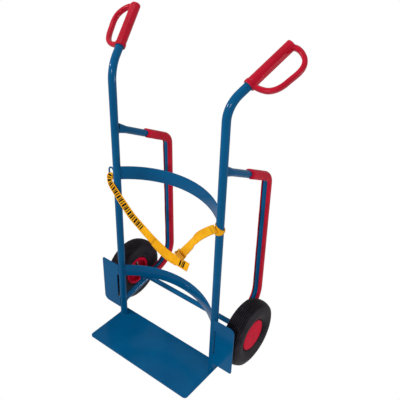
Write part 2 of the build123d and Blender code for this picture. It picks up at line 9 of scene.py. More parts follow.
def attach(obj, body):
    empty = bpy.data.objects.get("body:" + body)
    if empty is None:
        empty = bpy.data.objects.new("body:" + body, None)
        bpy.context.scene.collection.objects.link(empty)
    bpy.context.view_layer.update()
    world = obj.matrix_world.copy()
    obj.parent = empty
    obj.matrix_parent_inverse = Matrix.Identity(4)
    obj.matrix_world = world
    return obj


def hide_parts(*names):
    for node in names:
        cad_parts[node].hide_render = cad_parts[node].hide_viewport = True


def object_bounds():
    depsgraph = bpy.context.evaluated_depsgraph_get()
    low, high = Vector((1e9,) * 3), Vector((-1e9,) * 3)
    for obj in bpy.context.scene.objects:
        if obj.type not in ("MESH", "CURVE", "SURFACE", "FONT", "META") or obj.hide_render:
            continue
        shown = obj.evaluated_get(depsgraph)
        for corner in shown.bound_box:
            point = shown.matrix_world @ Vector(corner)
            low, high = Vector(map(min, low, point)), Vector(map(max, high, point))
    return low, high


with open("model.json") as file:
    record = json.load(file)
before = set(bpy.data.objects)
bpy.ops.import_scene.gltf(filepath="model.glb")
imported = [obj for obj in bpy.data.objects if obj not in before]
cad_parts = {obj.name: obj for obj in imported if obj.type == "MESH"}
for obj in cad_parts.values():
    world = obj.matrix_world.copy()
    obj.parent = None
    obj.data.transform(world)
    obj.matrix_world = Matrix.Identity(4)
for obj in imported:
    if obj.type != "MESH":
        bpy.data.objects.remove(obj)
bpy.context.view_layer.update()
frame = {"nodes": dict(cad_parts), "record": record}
NODES = frame["nodes"]
MM = 0.001
SIDES = (("left", -1), ("right", 1))


# ------------------------------------------------------------------ camera
LENS, SENSOR = 52.82, 36.0               # mm
CAMERA_AT = (1.0632, -1.2321, 1.6861)    # metres
AZIMUTH, ELEVATION, ROLL = 36.82, 32.66, 2.07


def make_camera():
    data = bpy.data.cameras.new("camera")
    data.lens = LENS
    data.sensor_width = SENSOR
    cam = bpy.data.objects.new("camera", data)
    bpy.context.scene.collection.objects.link(cam)
    azimuth, elevation, roll = (math.radians(angle) for angle in (AZIMUTH, ELEVATION, ROLL))
    look = Vector((-math.sin(azimuth) * math.cos(elevation),
                   math.cos(azimuth) * math.cos(elevation), -math.sin(elevation)))
    cam.rotation_mode = "QUATERNION"
    cam.rotation_quaternion = look.to_track_quat("-Z", "Y") @ Quaternion((0, 0, 1), roll)
    cam.location = CAMERA_AT
    bpy.context.scene.camera = cam


make_camera()


# ------------------------------------------------------------------ material helpers
class Mat:
    """A material with short calls for its nodes."""

    def __init__(self, name, **sockets):
        self.mat = bpy.data.materials.new(name)
        self.mat.use_nodes = True
        self.nt = self.mat.node_tree
        self.shader = self.nt.nodes["Principled BSDF"]
        self.set(**sockets)
        coords = self.nt.nodes.new("ShaderNodeTexCoord")
        self.coord = coords.outputs["Object"]
        self.uv = coords.outputs["UV"]

    def set(self, **sockets):
        for key, value in sockets.items():
            self.shader.inputs[key.replace("_", " ")].default_value = value

    def link(self, a, b):
        self.nt.links.new(a, b)

    def put(self, kind, inputs, **attrs):
        node = self.nt.nodes.new(kind)
        for key, value in attrs.items():
            setattr(node, key, value)
        for key, value in inputs.items():
            if isinstance(value, bpy.types.NodeSocket):
                self.link(value, node.inputs[key])
            else:
                node.inputs[key].default_value = value
        return node

    def noise(self, scale, detail=4.0, rough=0.55, stretch=None):
        source = self.coord
        if stretch:
            source = self.put("ShaderNodeMapping", {"Vector": source, "Scale": stretch}).outputs[0]
        return self.put("ShaderNodeTexNoise", {"Vector": source, "Scale": scale, "Detail": detail,
                                               "Roughness": rough}).outputs["Fac"]

    def ramp(self, fac, low, high, to_low=0.0, to_high=1.0):
        return self.put("ShaderNodeMapRange", {"Value": fac, "From Min": low, "From Max": high,
                                               "To Min": to_low, "To Max": to_high}).outputs[0]

    def math(self, op, a, b=0.0):
        return self.put("ShaderNodeMath", {0: a, 1: b}, operation=op).outputs[0]

    def mix(self, fac, a, b):
        return self.put("ShaderNodeMix", {0: fac, 6: a, 7: b}, data_type="RGBA").outputs[2]

    def axes(self, coord):
        node = self.put("ShaderNodeSeparateXYZ", {"Vector": coord})
        return node.outputs["X"], node.outputs["Y"], node.outputs["Z"]

    def bump(self, height, distance, strength):
        inputs = {"Height": height, "Distance": distance, "Strength": strength}
        return self.put("ShaderNodeBump", inputs).outputs["Normal"]

    def color(self, socket):
        self.link(socket, self.shader.inputs["Base Color"])

    def rough(self, socket):
        self.link(socket, self.shader.inputs["Roughness"])

    def normal(self, socket):
        self.link(socket, self.shader.inputs["Normal"])


def srgb(r, g, b):
    def lin(v):
        v /= 255.0
        return v / 12.92 if v <= 0.04045 else ((v + 0.055) / 1.055) ** 2.4
    return (lin(r), lin(g), lin(b), 1.0)


# ------------------------------------------------------------------ materials
def powder_blue():
    """Gloss powder coat: slight orange peel, cloudy tone, duller patches, fine specks of dust, and painted
    shade that darkens its crevices.
    """
    m = Mat("powder_blue", Specular_IOR_Level=0.12)
    broad = m.noise(6.0, 3.0)
    fine = m.noise(70.0, 5.0)
    base = m.mix(m.ramp(broad, 0.35, 0.65), srgb(0, 76, 120), srgb(0, 84, 130))
    base = m.mix(m.ramp(fine, 0.58, 0.78, 0.0, 0.45), base, srgb(2, 64, 102))
    base = m.mix(m.ramp(m.noise(900.0, 1.0), 0.72, 0.80, 0.0, 0.16), base, srgb(60, 110, 150))
    # Painted shade: an ambient-occlusion mask darkens crevices and recesses towards dark navy.
    painted_crevice_shade = m.put("ShaderNodeAmbientOcclusion", {"Distance": 16 * MM}).outputs["AO"]
    base = m.mix(m.ramp(painted_crevice_shade, 0.15, 0.60, 0.85, 0.0), base, srgb(2, 12, 30))
    m.color(base)
    m.rough(m.math("ADD", m.ramp(fine, 0.3, 0.7, 0.11, 0.19), m.ramp(broad, 0.4, 0.7, 0.0, 0.05)))
    m.normal(m.bump(m.noise(520.0, 2.0), 0.0004, 0.07))
    return m.mat


def grip_red():
    """Moulded soft vinyl: even red, fine grain, a few scuffs."""
    m = Mat("grip_red", Specular_IOR_Level=0.20)
    broad = m.noise(14.0, 3.0)
    base = m.mix(m.ramp(broad, 0.35, 0.65), srgb(166, 0, 31), srgb(184, 2, 40))
    scuff = m.noise(120.0, 6.0, 0.7, stretch=(1.0, 0.25, 0.6))
    base = m.mix(m.ramp(scuff, 0.66, 0.82, 0.0, 0.35), base, srgb(150, 12, 36))
    m.color(base)
    m.rough(m.ramp(scuff, 0.35, 0.75, 0.24, 0.38))
    m.normal(m.bump(m.noise(1500.0, 2.0), 0.0003, 0.12))
    return m.mat


def strip_red():
    """Extruded plastic glide strip: lengthwise drawing lines and darker rubbed marks."""
    m = Mat("strip_red", Specular_IOR_Level=0.08)
    lines = m.noise(260.0, 3.0, stretch=(1.0, 1.0, 0.04))
    broad = m.noise(16.0, 4.0)
    base = m.mix(m.ramp(broad, 0.35, 0.65), srgb(170, 12, 38), srgb(190, 18, 46))
    base = m.mix(m.ramp(lines, 0.55, 0.8, 0.0, 0.40), base, srgb(140, 12, 34))
    m.color(base)
    m.rough(m.ramp(lines, 0.3, 0.7, 0.34, 0.50))
    m.normal(m.bump(lines, 0.0004, 0.25))
    return m.mat


def rim_red():
    """Painted pressed steel: satin red with faint clouding and dust in the dish."""
    m = Mat("rim_red", Specular_IOR_Level=0.03)
    broad = m.noise(22.0, 4.0)
    base = m.mix(m.ramp(broad, 0.35, 0.65), srgb(190, 4, 42), srgb(206, 10, 50))
    base = m.mix(m.ramp(m.noise(160.0, 5.0), 0.62, 0.80, 0.0, 0.35), base, srgb(120, 14, 36))
    m.color(base)
    m.rough(m.ramp(broad, 0.3, 0.7, 0.32, 0.44))
    m.normal(m.bump(m.noise(700.0, 2.0), 0.0003, 0.20))
    return m.mat


def tyre_rubber():
    """Black rubber with a trace of grey dust, a fine moulded grain, and painted shade in the tread grooves
    and on two sidewall bands.
    """
    m = Mat("tyre_rubber", Specular_IOR_Level=0.10)
    dust = m.noise(28.0, 5.0, 0.6)
    base = m.mix(m.ramp(dust, 0.40, 0.72), srgb(22, 18, 25), srgb(44, 38, 46))
    base = m.mix(m.ramp(m.noise(420.0, 3.0), 0.62, 0.80, 0.0, 0.4), base, srgb(56, 50, 56))
    # Painted shade: the first UV coordinate, set by groove_shade, darkens the tread grooves and two sidewall
    # bands towards black.
    painted_groove_shade, _, _ = m.axes(m.uv)
    base = m.mix(painted_groove_shade, base, srgb(3, 2, 5))
    m.color(base)
    m.rough(m.ramp(dust, 0.3, 0.7, 0.42, 0.62))
    m.normal(m.bump(m.noise(900.0, 3.0), 0.0004, 0.45))
    return m.mat


def plain_rubber(name, dark, light):
    """Small rubber parts: valve stem, valve cap and inner tube."""
    m = Mat(name, Specular_IOR_Level=0.4)
    m.color(m.mix(m.ramp(m.noise(90.0, 4.0), 0.35, 0.7), dark, light))
    m.rough(m.ramp(m.noise(200.0, 3.0), 0.3, 0.7, 0.45, 0.65))
    m.normal(m.bump(m.noise(1200.0, 2.0), 0.0003, 0.3))
    return m.mat


def plated(name, low, high, metallic):
    """Zinc plating, clear or yellow chromate: crystalline patches over fine machining lines."""
    m = Mat(name, Metallic=metallic)
    spangle = m.put("ShaderNodeTexVoronoi", {"Vector": m.coord, "Scale": 420.0}).outputs["Distance"]
    base = m.mix(m.ramp(m.noise(60.0, 4.0), 0.35, 0.65), low, high)
    base = m.mix(m.ramp(spangle, 0.2, 0.7, 0.0, 0.25), base, low)
    m.color(base)
    m.rough(m.ramp(spangle, 0.1, 0.7, 0.26, 0.44))
    m.normal(m.bump(m.noise(900.0, 2.0, stretch=(1.0, 1.0, 0.2)), 0.0002, 0.3))
    return m.mat


WEB_W = 30.0                             # width of the webbing
BAR_HALF = 10.8                          # half the height of a printed bar
BAR_PITCH = 34.0                         # the row of bars repeats after this length
BARS = ((1.0, 7.0), (11.0, 15.0), (19.0, 26.5), (30.0, 33.5))


def webbing(name, bars=None, seams=()):
    """Woven polyester from the strap's own coordinates in millimetres: U across it and V along it.

    bars is the stretch of V that carries plain black printed bars, and seams the places along V of
    rows of dark stitching.
    """
    m = Mat(name, Specular_IOR_Level=0.06, Sheen_Weight=0.04, Sheen_Roughness=0.5)
    across, along, _ = m.axes(m.uv)
    ends = m.math("SINE", m.math("MULTIPLY", across, 2 * math.pi / 2.1))
    picks = m.math("SINE", m.math("ADD", m.math("MULTIPLY", along, 2 * math.pi / 1.5),
                                  m.math("MULTIPLY", across, math.pi / 2.1)))
    weave = m.math("MAXIMUM", ends, m.math("MULTIPLY", picks, 0.8))
    broad = m.noise(30.0, 4.0)
    base = m.mix(m.ramp(broad, 0.35, 0.65), srgb(240, 166, 12), srgb(252, 184, 22))
    # Painted shade: where the weave is low, between the yarns, the colour is darkened towards brown.
    base = m.mix(m.ramp(weave, 0.4, -0.9, 0.0, 0.60), base, srgb(150, 86, 12))
    edge = m.math("ABSOLUTE", m.math("SUBTRACT", across, WEB_W / 2))
    base = m.mix(m.ramp(edge, WEB_W / 2 - 2.6, WEB_W / 2 - 1.6, 0.0, 0.35), base, srgb(196, 124, 20))
    if bars:
        base = m.mix(bar_print(m, across, along, edge, bars), base, srgb(12, 8, 8))
    for at in seams:
        row = m.math("LESS_THAN", m.math("ABSOLUTE", m.math("SUBTRACT", along, at)), 0.75)
        dash = m.math("GREATER_THAN", m.math("SINE", m.math("MULTIPLY", across, 2 * math.pi / 3.4)), -0.55)
        inside = m.math("LESS_THAN", edge, 12.4)
        stitch = m.math("MULTIPLY", m.math("MULTIPLY", row, dash), inside)
        base = m.mix(stitch, base, srgb(104, 44, 16))
    m.color(base)
    m.rough(m.ramp(weave, -1.0, 1.0, 0.80, 0.58))
    m.normal(m.bump(weave, 0.0004, 0.55))
    return m.mat


def bar_print(m, across, along, edge, stretch):
    """Mask of a row of plain upright bars of mixed widths, printed along the middle."""
    def between(value, low, high):
        return m.math("MULTIPLY", m.math("GREATER_THAN", value, low), m.math("LESS_THAN", value, high))

    step = m.math("MODULO", along, BAR_PITCH)
    inside = m.math("LESS_THAN", edge, BAR_HALF)
    ink = None
    for low, high in BARS:
        bar = m.math("MULTIPLY", between(step, low, high), inside)
        ink = bar if ink is None else m.math("MAXIMUM", ink, bar)
    worn = m.ramp(m.noise(260.0, 4.0), 0.26, 0.40, 0.90, 1.0)
    return m.math("MULTIPLY", m.math("MULTIPLY", ink, between(along, *stretch)), worn)


MATS = {
    "blue_powder_coat": powder_blue(),
    "red_grip_plastic": grip_red(),
    "red_strip_plastic": strip_red(),
    "red_rim_paint": rim_red(),
    "tyre_rubber": tyre_rubber(),
    "inner_rubber": plain_rubber("rubber_dark", srgb(34, 34, 36), srgb(58, 58, 60)),
    "zinc_steel": plated("zinc", srgb(150, 154, 160), srgb(196, 199, 204), 1.0),
    "yellow_webbing": webbing("webbing"),
    "yellow_zinc": plated("yellow_zinc", srgb(206, 142, 20), srgb(246, 186, 44), 0.25),
}
valve_grey = plain_rubber("valve_grey", srgb(112, 110, 100), srgb(150, 148, 136))
for row in frame["record"]["subparts"]:
    obj = NODES[row["node"]]
    obj.data.materials.clear()
    obj.data.materials.append(MATS[row["material_slot"]])
for hand, _ in SIDES:
    NODES["valve_cap_" + hand].data.materials[0] = valve_grey


# ------------------------------------------------------------------ mesh helpers (millimetres in, metres out)
def make(name, verts, faces, body, slot, material=None, replaces=(), uvs=None):
    mesh = bpy.data.meshes.new(name)
    mesh.from_pydata([Vector(v) * MM for v in verts], [], faces)
    mesh.validate()
    if uvs:
        layer = mesh.uv_layers.new(name="UVMap")
        for loop in mesh.loops:
            layer.data[loop.index].uv = uvs[loop.vertex_index]
    obj = bpy.data.objects.new(name, mesh)
    bpy.context.scene.collection.objects.link(obj)
    mesh.materials.append(material or MATS[slot])
    fix = bmesh.new()
    fix.from_mesh(mesh)
    bmesh.ops.recalc_face_normals(fix, faces=fix.faces)
    fix.to_mesh(mesh)
    fix.free()
    mesh.polygons.foreach_set("use_smooth", [True] * len(mesh.polygons))
    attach(obj, body)
    if replaces:
        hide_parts(*replaces)
    return obj


def skin(rings, closed_path=False):
    """Vertices and faces of a surface through rings that all have the same number of points."""
    count = len(rings[0])
    verts = [v for ring in rings for v in ring]
    faces = []
    last = len(rings) if closed_path else len(rings) - 1
    for i in range(last):
        a, b = i * count, ((i + 1) % len(rings)) * count
        for j in range(count):
            k = (j + 1) % count
            faces.append((a + j, a + k, b + k, b + j))
    if not closed_path:
        faces.append(tuple(range(count - 1, -1, -1)))
        faces.append(tuple(range((len(rings) - 1) * count, len(rings) * count)))
    return verts, faces


def join(parts):
    """One vertex and face list from several."""
    verts, faces = [], []
    for part_verts, part_faces in parts:
        base = len(verts)
        verts += part_verts
        faces += [tuple(base + i for i in face) for face in part_faces]
    return verts, faces


def arc3(a, b, c, count):
    """Points along the circle through three (x, y) points, the last one left out."""
    (ax, ay), (bx, by), (cx, cy) = a, b, c
    d = 2 * (ax * (by - cy) + bx * (cy - ay) + cx * (ay - by))
    sa, sb, sc = ax * ax + ay * ay, bx * bx + by * by, cx * cx + cy * cy
    ux = (sa * (by - cy) + sb * (cy - ay) + sc * (ay - by)) / d
    uy = (sa * (cx - bx) + sb * (ax - cx) + sc * (bx - ax)) / d
    r = math.hypot(ax - ux, ay - uy)
    start, mid, end = (math.atan2(y - uy, x - ux) for x, y in (a, b, c))
    turn = (end - start) % (2 * math.pi)
    if (mid - start) % (2 * math.pi) > turn:
        turn -= 2 * math.pi
    return [(ux + r * math.cos(start + turn * i / count), uy + r * math.sin(start + turn * i / count))
            for i in range(count)]


def lathe(profile, centre, out, segments):
    """A closed (distance along the wheel axis, radius) profile turned about the X axis."""
    rings = []
    for i in range(segments):
        a = 2 * math.pi * i / segments
        rings.append([(centre[0] + out * x, centre[1] + r * math.cos(a), centre[2] + r * math.sin(a))
                      for x, r in profile])
    return skin(rings, closed_path=True)


def smooth_path(points, step):
    """Catmull-Rom curve through the points, sampled about every step."""
    pts = [Vector(p) for p in points]
    pts = [pts[0] * 2 - pts[1]] + pts + [pts[-1] * 2 - pts[-2]]
    out = []
    for i in range(1, len(pts) - 2):
        p0, p1, p2, p3 = pts[i - 1:i + 3]
        count = max(2, round((p2 - p1).length / step))
        for j in range(count):
            t = j / count
            out.append(0.5 * ((2 * p1) + (p2 - p0) * t + (2 * p0 - 5 * p1 + 4 * p2 - p3) * t ** 2
                              + (3 * p1 - p0 - 3 * p2 + p3) * t ** 3))
    out.append(pts[-2])
    return out


def bent_path(corners, radii, step):
    """Straight legs joined by tangent arcs, as (point, tangent) pairs."""
    corners = [Vector(c) for c in corners]
    points = [corners[0]]
    for corner, before, after, radius in zip(corners[1:-1], corners, corners[2:], radii):
        back, ahead = (before - corner).normalized(), (after - corner).normalized()
        half = back.angle(ahead) / 2
        centre = corner + (back + ahead).normalized() * (radius / math.sin(half))
        start = corner + back * (radius / math.tan(half)) - centre
        axis = back.cross(ahead)
        turn = math.pi - 2 * half
        count = max(4, round(radius * turn / step))
        straight = centre + start - points[-1]
        legs = max(1, round(straight.length / (6 * step)))
        points += [points[-1] + straight * (i / legs) for i in range(1, legs)]
        points += [centre + Quaternion(axis, -turn * i / count) @ start for i in range(count + 1)]
    straight = corners[-1] - points[-1]
    legs = max(1, round(straight.length / (6 * step)))
    points += [points[-1] + straight * (i / legs) for i in range(1, legs + 1)]
    ends = [points[0]] + points + [points[-1]]
    return [(p, (ends[i + 2] - ends[i]).normalized()) for i, p in enumerate(points)]


def along_line(points, step):
    """Evenly spaced points along straight runs."""
    out = []
    for a, b in zip(points, points[1:]):
        count = max(1, round((b - a).length / step))
        out += [a.lerp(b, i / count) for i in range(count)]
    return out + [points[-1]]


BEAD_SIDES = 8
RIPPLE = 2.6                             # spacing of the ripples along a weld


def bead(points, radius, closed=False):
    """A rippled weld bead along the points."""
    rings, run = [], 0.0
    side = Vector((0.31, 0.17, 0.93)).normalized()
    count = len(points)
    for i, p in enumerate(points):
        ahead = points[(i + 1) % count] if closed or i < count - 1 else p
        behind = points[i - 1] if closed or i else p
        tangent = (ahead - behind).normalized()
        side = (side - tangent * side.dot(tangent)).normalized()
        other = tangent.cross(side)
        if i:
            run += (p - points[i - 1]).length
        r = radius * (1.0 + 0.16 * math.sin(2 * math.pi * run / RIPPLE) + 0.05 * math.sin(run * 0.9))
        if not closed and i in (0, count - 1):
            r *= 0.35
        rings.append([p + (side * math.cos(a) + other * math.sin(a)) * r
                      for a in (2 * math.pi * j / BEAD_SIDES for j in range(BEAD_SIDES))])
    return skin(rings, closed_path=closed)


# ------------------------------------------------------------------ driving dimensions, as in the frame (mm)
TUBE_R = 13.45
TUBE_X = 222.5
CORNER_Z = 1039.0
RUNNER_X = 220.0
ARM = ((12.0, 826.6), (265.5, 697.3))
STRUT = ((12.0, 80.0), (281.9, 134.0))
ARM_R, LOW_R = 38.0, 90.0
WHEEL = (284.0, 122.0, 128.0)
BANDS = {"upper_crossband": (635.4, 685.4, -8.1, 91.9), "lower_crossband": (204.4, 254.4, -10.7, 83.2)}
BAND_T = 5.0


# ------------------------------------------------------------------ tyres
TYRE_R = 128.0
CROWN_X, CROWN_R = 29.9, 119.6           # the shoulder, where the crown ends
CROWN_DROP = 8.4                         # from the middle of the crown to the shoulder
TREAD_X = 28.8                           # half the width of the ribbed band
RIB_PITCH, RIB_DEPTH = 7.2, 2.4
SIDEWALL = ((24.2, 60.6), (38.0, 90.0), (30.2, 118.6))
RING_RADII = (64.5, 68.0, 99.5, 103.0)   # raised rings on the sidewall
WHEEL_STEPS = 144


def crown_radius(x):
    """Radius of the crown without its grooves."""
    return TYRE_R - CROWN_DROP * (x / CROWN_X) ** 2


def groove_shade(x, r):
    """How much painted shade a point of the tyre gets, from 0 to 1: more the deeper it sits in the tread
    grooves, and a fixed amount on two narrow sidewall bands, near the rim and below the shoulder.
    """
    if abs(x) > 28.6 or r < 116.0:
        return 0.55 * (1.0 if 61.0 < r < 64.0 or 117.4 < r < 119.2 else 0.0)
    return max(0.0, min(0.9, (crown_radius(x) - r - 0.4) / 1.2))


def tyre_profile():
    """Outer skin with tread ribs, shoulder steps and sidewall rings, then the inner skin."""
    half = [(22.5, 50.0), (22.5, 56.5), (23.2, 58.9)]
    side = arc3(*SIDEWALL, 40)
    for x, r in side:
        ring = sum(math.exp(-((r - at) / 0.9) ** 2) for at in RING_RADII)
        x += 0.55 * ring
        half.append((x, r))
    crown = arc3((CROWN_X, CROWN_R), (0.0, TYRE_R), (-CROWN_X, CROWN_R), 168)
    tread = []
    for x, r in crown[1:]:
        if abs(x) < TREAD_X:
            wave = 0.5 - 0.5 * math.cos(2 * math.pi * (x + TREAD_X) / RIB_PITCH)
            r -= RIB_DEPTH * (1.0 - min(1.0, 2.1 * wave))
        tread.append((x, r))
    other = [(-x, r) for x, r in reversed(half)]
    inner = [(-14.0, 50.0), (-15.7, 61.0), (-31.0, 90.0), (-22.6, 112.2), (0.0, 118.0),
             (22.6, 112.2), (31.0, 90.0), (15.7, 61.0), (14.0, 50.0)]
    return half + tread + other + inner


for hand, s in SIDES:
    centre = (s * WHEEL[0], WHEEL[1], WHEEL[2])
    profile = tyre_profile()
    verts, faces = lathe(profile, centre, s, WHEEL_STEPS)
    # Painted shade for the grooves and sidewall bands, carried in the first UV coordinate.
    shade = [(groove_shade(x, r), 0.0) for x, r in profile] * WHEEL_STEPS
    make("tyre_ribbed_" + hand, verts, faces, "wheel_" + hand, "tyre_rubber", replaces=("tyre_" + hand,),
         uvs=shade)


# ------------------------------------------------------------------ grips
BOW = ((243.5, 6.0), (249.5, 22.0), (247.5, 41.0), (238.0, 60.0), (222.0, 72.0), (200.0, 76.5), (168.0, 74.5),
       (142.0, 72.0), (121.0, 65.0), (105.0, 52.5), (96.0, 36.0), (91.0, 18.0), (90.0, 6.0))
SLEEVE_R = 16.6
SLEEVE = ((82.4, 0.0), (82.4, 14.4), (80.5, 15.2), (80.5, 18.0), (81.1, 18.6), (92.4, 18.6), (93.4, 17.9),
          (94.0, 16.7), (120.0, SLEEVE_R), (150.0, SLEEVE_R), (200.0, SLEEVE_R), (249.0, SLEEVE_R),
          (250.4, 16.0), (251.0, 14.8), (251.0, 0.0))
BOW_HALF = (7.7, 9.4)                    # half the section of the hand guard, in its plane and across
FLUTES = (97.0, 247.0)                   # where the flutes start and end along the leg
VOXEL = 1.25


def grip_frame(s):
    """Corner, axis of the upper leg and the direction in which the hand guard stands out."""
    axis = Vector((s * 0.288, 0.772, 0.567)).normalized()
    side = Vector((s, 0.0, 0.0))
    flat = (side - axis * side.dot(axis)).normalized()
    lift = axis.cross(flat)
    swing = math.radians(12.0 * s)
    return Vector((s * TUBE_X, 0.0, CORNER_Z)), axis, flat * math.cos(swing) + lift * math.sin(swing)


def grip(hand, s):
    """Sleeve and hand guard fused into one moulding, then fluted."""
    corner, axis, out = grip_frame(s)
    third = axis.cross(out)
    rings = []
    for along, r in SLEEVE:
        r = max(r, 0.05)
        rings.append([corner + axis * along + (out * math.cos(a) + third * math.sin(a)) * r
                      for a in (2 * math.pi * i / 64 for i in range(64))])
    sleeve = skin(rings)
    line = smooth_path([corner + axis * p + out * q for p, q in BOW], 2.5)
    rings = []
    for i, p in enumerate(line):
        tangent = (line[min(i + 1, len(line) - 1)] - line[max(i - 1, 0)]).normalized()
        normal = tangent.cross(third).normalized()
        ring = []
        for j in range(28):
            a = 2 * math.pi * j / 28
            c, d = math.cos(a), math.sin(a)
            # A superellipse: the section is a rounded square, wider across its plane than in it.
            u = math.copysign(abs(c) ** 0.62, c) * BOW_HALF[0]
            v = math.copysign(abs(d) ** 0.62, d) * BOW_HALF[1]
            ring.append(p + normal * u + third * v)
        rings.append(ring)
    verts, faces = join([sleeve, skin(rings)])
    obj = make("grip_moulded_" + hand, verts, faces, "frame", "red_grip_plastic", replaces=("grip_" + hand,))
    bpy.context.view_layer.objects.active = obj
    remesh = obj.modifiers.new("remesh", "REMESH")
    remesh.mode = "VOXEL"
    remesh.voxel_size = VOXEL * MM
    soft = obj.modifiers.new("soft", "SMOOTH")
    soft.factor = 0.5
    soft.iterations = 5
    depsgraph = bpy.context.evaluated_depsgraph_get()
    mesh = bpy.data.meshes.new_from_object(obj.evaluated_get(depsgraph))
    obj.modifiers.clear()
    obj.data = mesh
    for v in mesh.vertices:
        # Shallow lengthwise flutes on the sleeve, away from the bow.
        rel = v.co / MM - corner
        run = rel.dot(axis)
        radial = rel - axis * run
        reach = radial.length
        if FLUTES[0] < run < FLUTES[1] and 15.2 < reach < 17.4:
            angle = math.atan2(radial.dot(third), radial.dot(out))
            fade = min(1.0, (run - FLUTES[0]) / 6.0, (FLUTES[1] - run) / 4.0)
            away = min(1.0, max(0.0, (abs(angle) - 0.75) / 0.2)) if run < 125.0 or run > 225.0 else 1.0
            depth = 0.7 * (0.5 + 0.5 * math.cos(12 * angle)) ** 2 * fade * away
            v.co -= radial.normalized() * depth * MM
    mesh.polygons.foreach_set("use_smooth", [True] * len(mesh.polygons))


for hand, s in SIDES:
    grip(hand, s)


# ------------------------------------------------------------------ glide strips
LIP_EDGE, LIP_SPAN = math.radians(40.0), math.radians(34.0)


def strip_section():
    """(radius, angle from the slot) round the clip-on profile: thick back, lips standing off the tube."""
    def lip(a):
        from_edge = min(a, 2 * math.pi - a) - LIP_EDGE
        return max(0.0, 1.0 - from_edge / LIP_SPAN)

    outer = [math.radians(43.0 + 274.0 * i / 40) for i in range(41)]
    points = [(17.8 - 0.7 * lip(a) ** 2, a) for a in outer]
    points.append((15.9, math.radians(320.5)))
    points += [(12.75 + 1.7 * lip(a), a) for a in reversed(outer)]
    points.append((15.9, math.radians(39.5)))
    return points


def glide_strip(hand, s):
    arm = (Vector((0, *ARM[1])) - Vector((0, *ARM[0]))).normalized()
    strut = (Vector((0, *STRUT[1])) - Vector((0, *STRUT[0]))).normalized()
    start = Vector((s * RUNNER_X, *ARM[0])) + arm * 150.0
    stop = Vector((s * RUNNER_X, *STRUT[0])) + strut * 176.0
    route = bent_path([start, Vector((s * RUNNER_X, *ARM[1])), Vector((s * RUNNER_X, *STRUT[1])), stop],
                      [ARM_R, LOW_R], 2.5)
    section = strip_section()
    rings = []
    run = 0.0
    for i, (p, t) in enumerate(route):
        inward = Vector((0.0, t.z, -t.y))
        if i:
            run += (p - route[i - 1][0]).length
        wave = 0.35 * math.sin(run / 23.0) + 0.25 * math.sin(run / 9.0 + 1.0)
        ring = []
        for r, a in section:
            # The cut at the top end is slanted, so the lips reach further up the arm.
            slant = -9.0 * max(0.0, math.cos(a)) if i == 0 else 0.0
            lip = max(0.0, math.cos(a))
            direction = inward * math.cos(a) + Vector((1, 0, 0)) * math.sin(a)
            ring.append(p + t * slant + direction * (r + wave * lip))
        rings.append(ring)
    verts, faces = skin(rings)
    make("glide_profile_" + hand, verts, faces, "frame", "red_strip_plastic",
         replaces=("glide_strip_" + hand,))


for hand, s in SIDES:
    glide_strip(hand, s)


# ------------------------------------------------------------------ weld beads
GUARD_WELD_Z = ((42.0, 86.0), (210.0, 250.0))     # above and below the guard's slot
EYE_WELD_X, EYE_WELD_Z = -237.4, (647.0, 662.0)


def tube_ring(s, z):
    """Ring just outside the main tube, at its foot."""
    radius, count = TUBE_R + 0.6, 150
    return [Vector((s * TUBE_X + radius * math.cos(a), radius * math.sin(a), z))
            for a in (2 * math.pi * i / count for i in range(count))]


def band_weld_points(s, low, high, y_end, y_mid):
    """Upright lines where the two faces of a curved band meet the main tube."""
    sag = y_mid - y_end
    radius = (TUBE_X ** 2 + sag ** 2) / (2 * sag)
    centre = y_mid - radius
    lines = []
    for r in (radius, radius + BAND_T):
        a = math.asin((TUBE_X - 30.0) / r)
        while math.hypot(r * math.sin(a) - TUBE_X, centre + r * math.cos(a)) > TUBE_R + 0.5:
            a += 0.0005
        x, y = s * r * math.sin(a), centre + r * math.cos(a)
        lines.append([Vector((x, y, low + 1.5)), Vector((x, y, high - 1.5))])
    return lines


def runner_weld_points(s, root, ahead):
    """Ring where a pressed runner end meets the back of the main tube."""
    root, ahead = Vector((s * RUNNER_X, *root)), Vector((s * RUNNER_X, *ahead))
    travel = (ahead - root).normalized()
    up = Vector((1, 0, 0)).cross(travel)
    ring = []
    for i in range(72):
        a = 2 * math.pi * i / 72
        p = root + Vector((8.8 * math.cos(a), 0, 0)) + up * (17.6 * math.sin(a))
        back = math.sqrt(TUBE_R ** 2 - (p.x - s * TUBE_X) ** 2)
        ring.append(p + travel * ((back - p.y) / travel.y))
    return ring


for hand, s in SIDES:
    beads = [bead(tube_ring(s, 5.6), 2.2, closed=True)]
    for values in BANDS.values():
        for line in band_weld_points(s, *values):
            beads.append(bead(along_line(line, 0.7), 1.7))
    for root, ahead in (ARM, STRUT):
        beads.append(bead(runner_weld_points(s, root, ahead), 1.7, closed=True))
    for low, high in GUARD_WELD_Z:
        for x, y, r in ((230.6, -8.6, 1.9), (228.6, -13.0, 1.2)):
            beads.append(bead(along_line([Vector((s * x, y, low)), Vector((s * x, y, high))], 0.7), r))
    for y, z in ((WHEEL[1] - 9.2, 121.0), (WHEEL[1] + 9.2, 121.0)):
        beads.append(bead(along_line([Vector((s * 213.0, y, z)), Vector((s * 227.0, y, z))], 0.7), 1.6))
    verts, faces = join(beads)
    make("weld_beads_" + hand, verts, faces, "frame", "blue_powder_coat")

eye_beads = [bead(along_line([Vector((EYE_WELD_X, y, z)) for z in EYE_WELD_Z], 0.6), 1.2)
             for y in (-2.6, 2.6)]
verts, faces = join(eye_beads)
make("weld_beads_eye", verts, faces, "frame", "blue_powder_coat")


# ------------------------------------------------------------------ wheel guards and softened steel edges
GUARD_X = (229.4, 314.5)
GUARD_Y = (-13.45, -9.45)
GUARD_Z = (40.5, 252.0)
SLOT_X = 239.0
SLOT_Z = (91.0, 205.0)


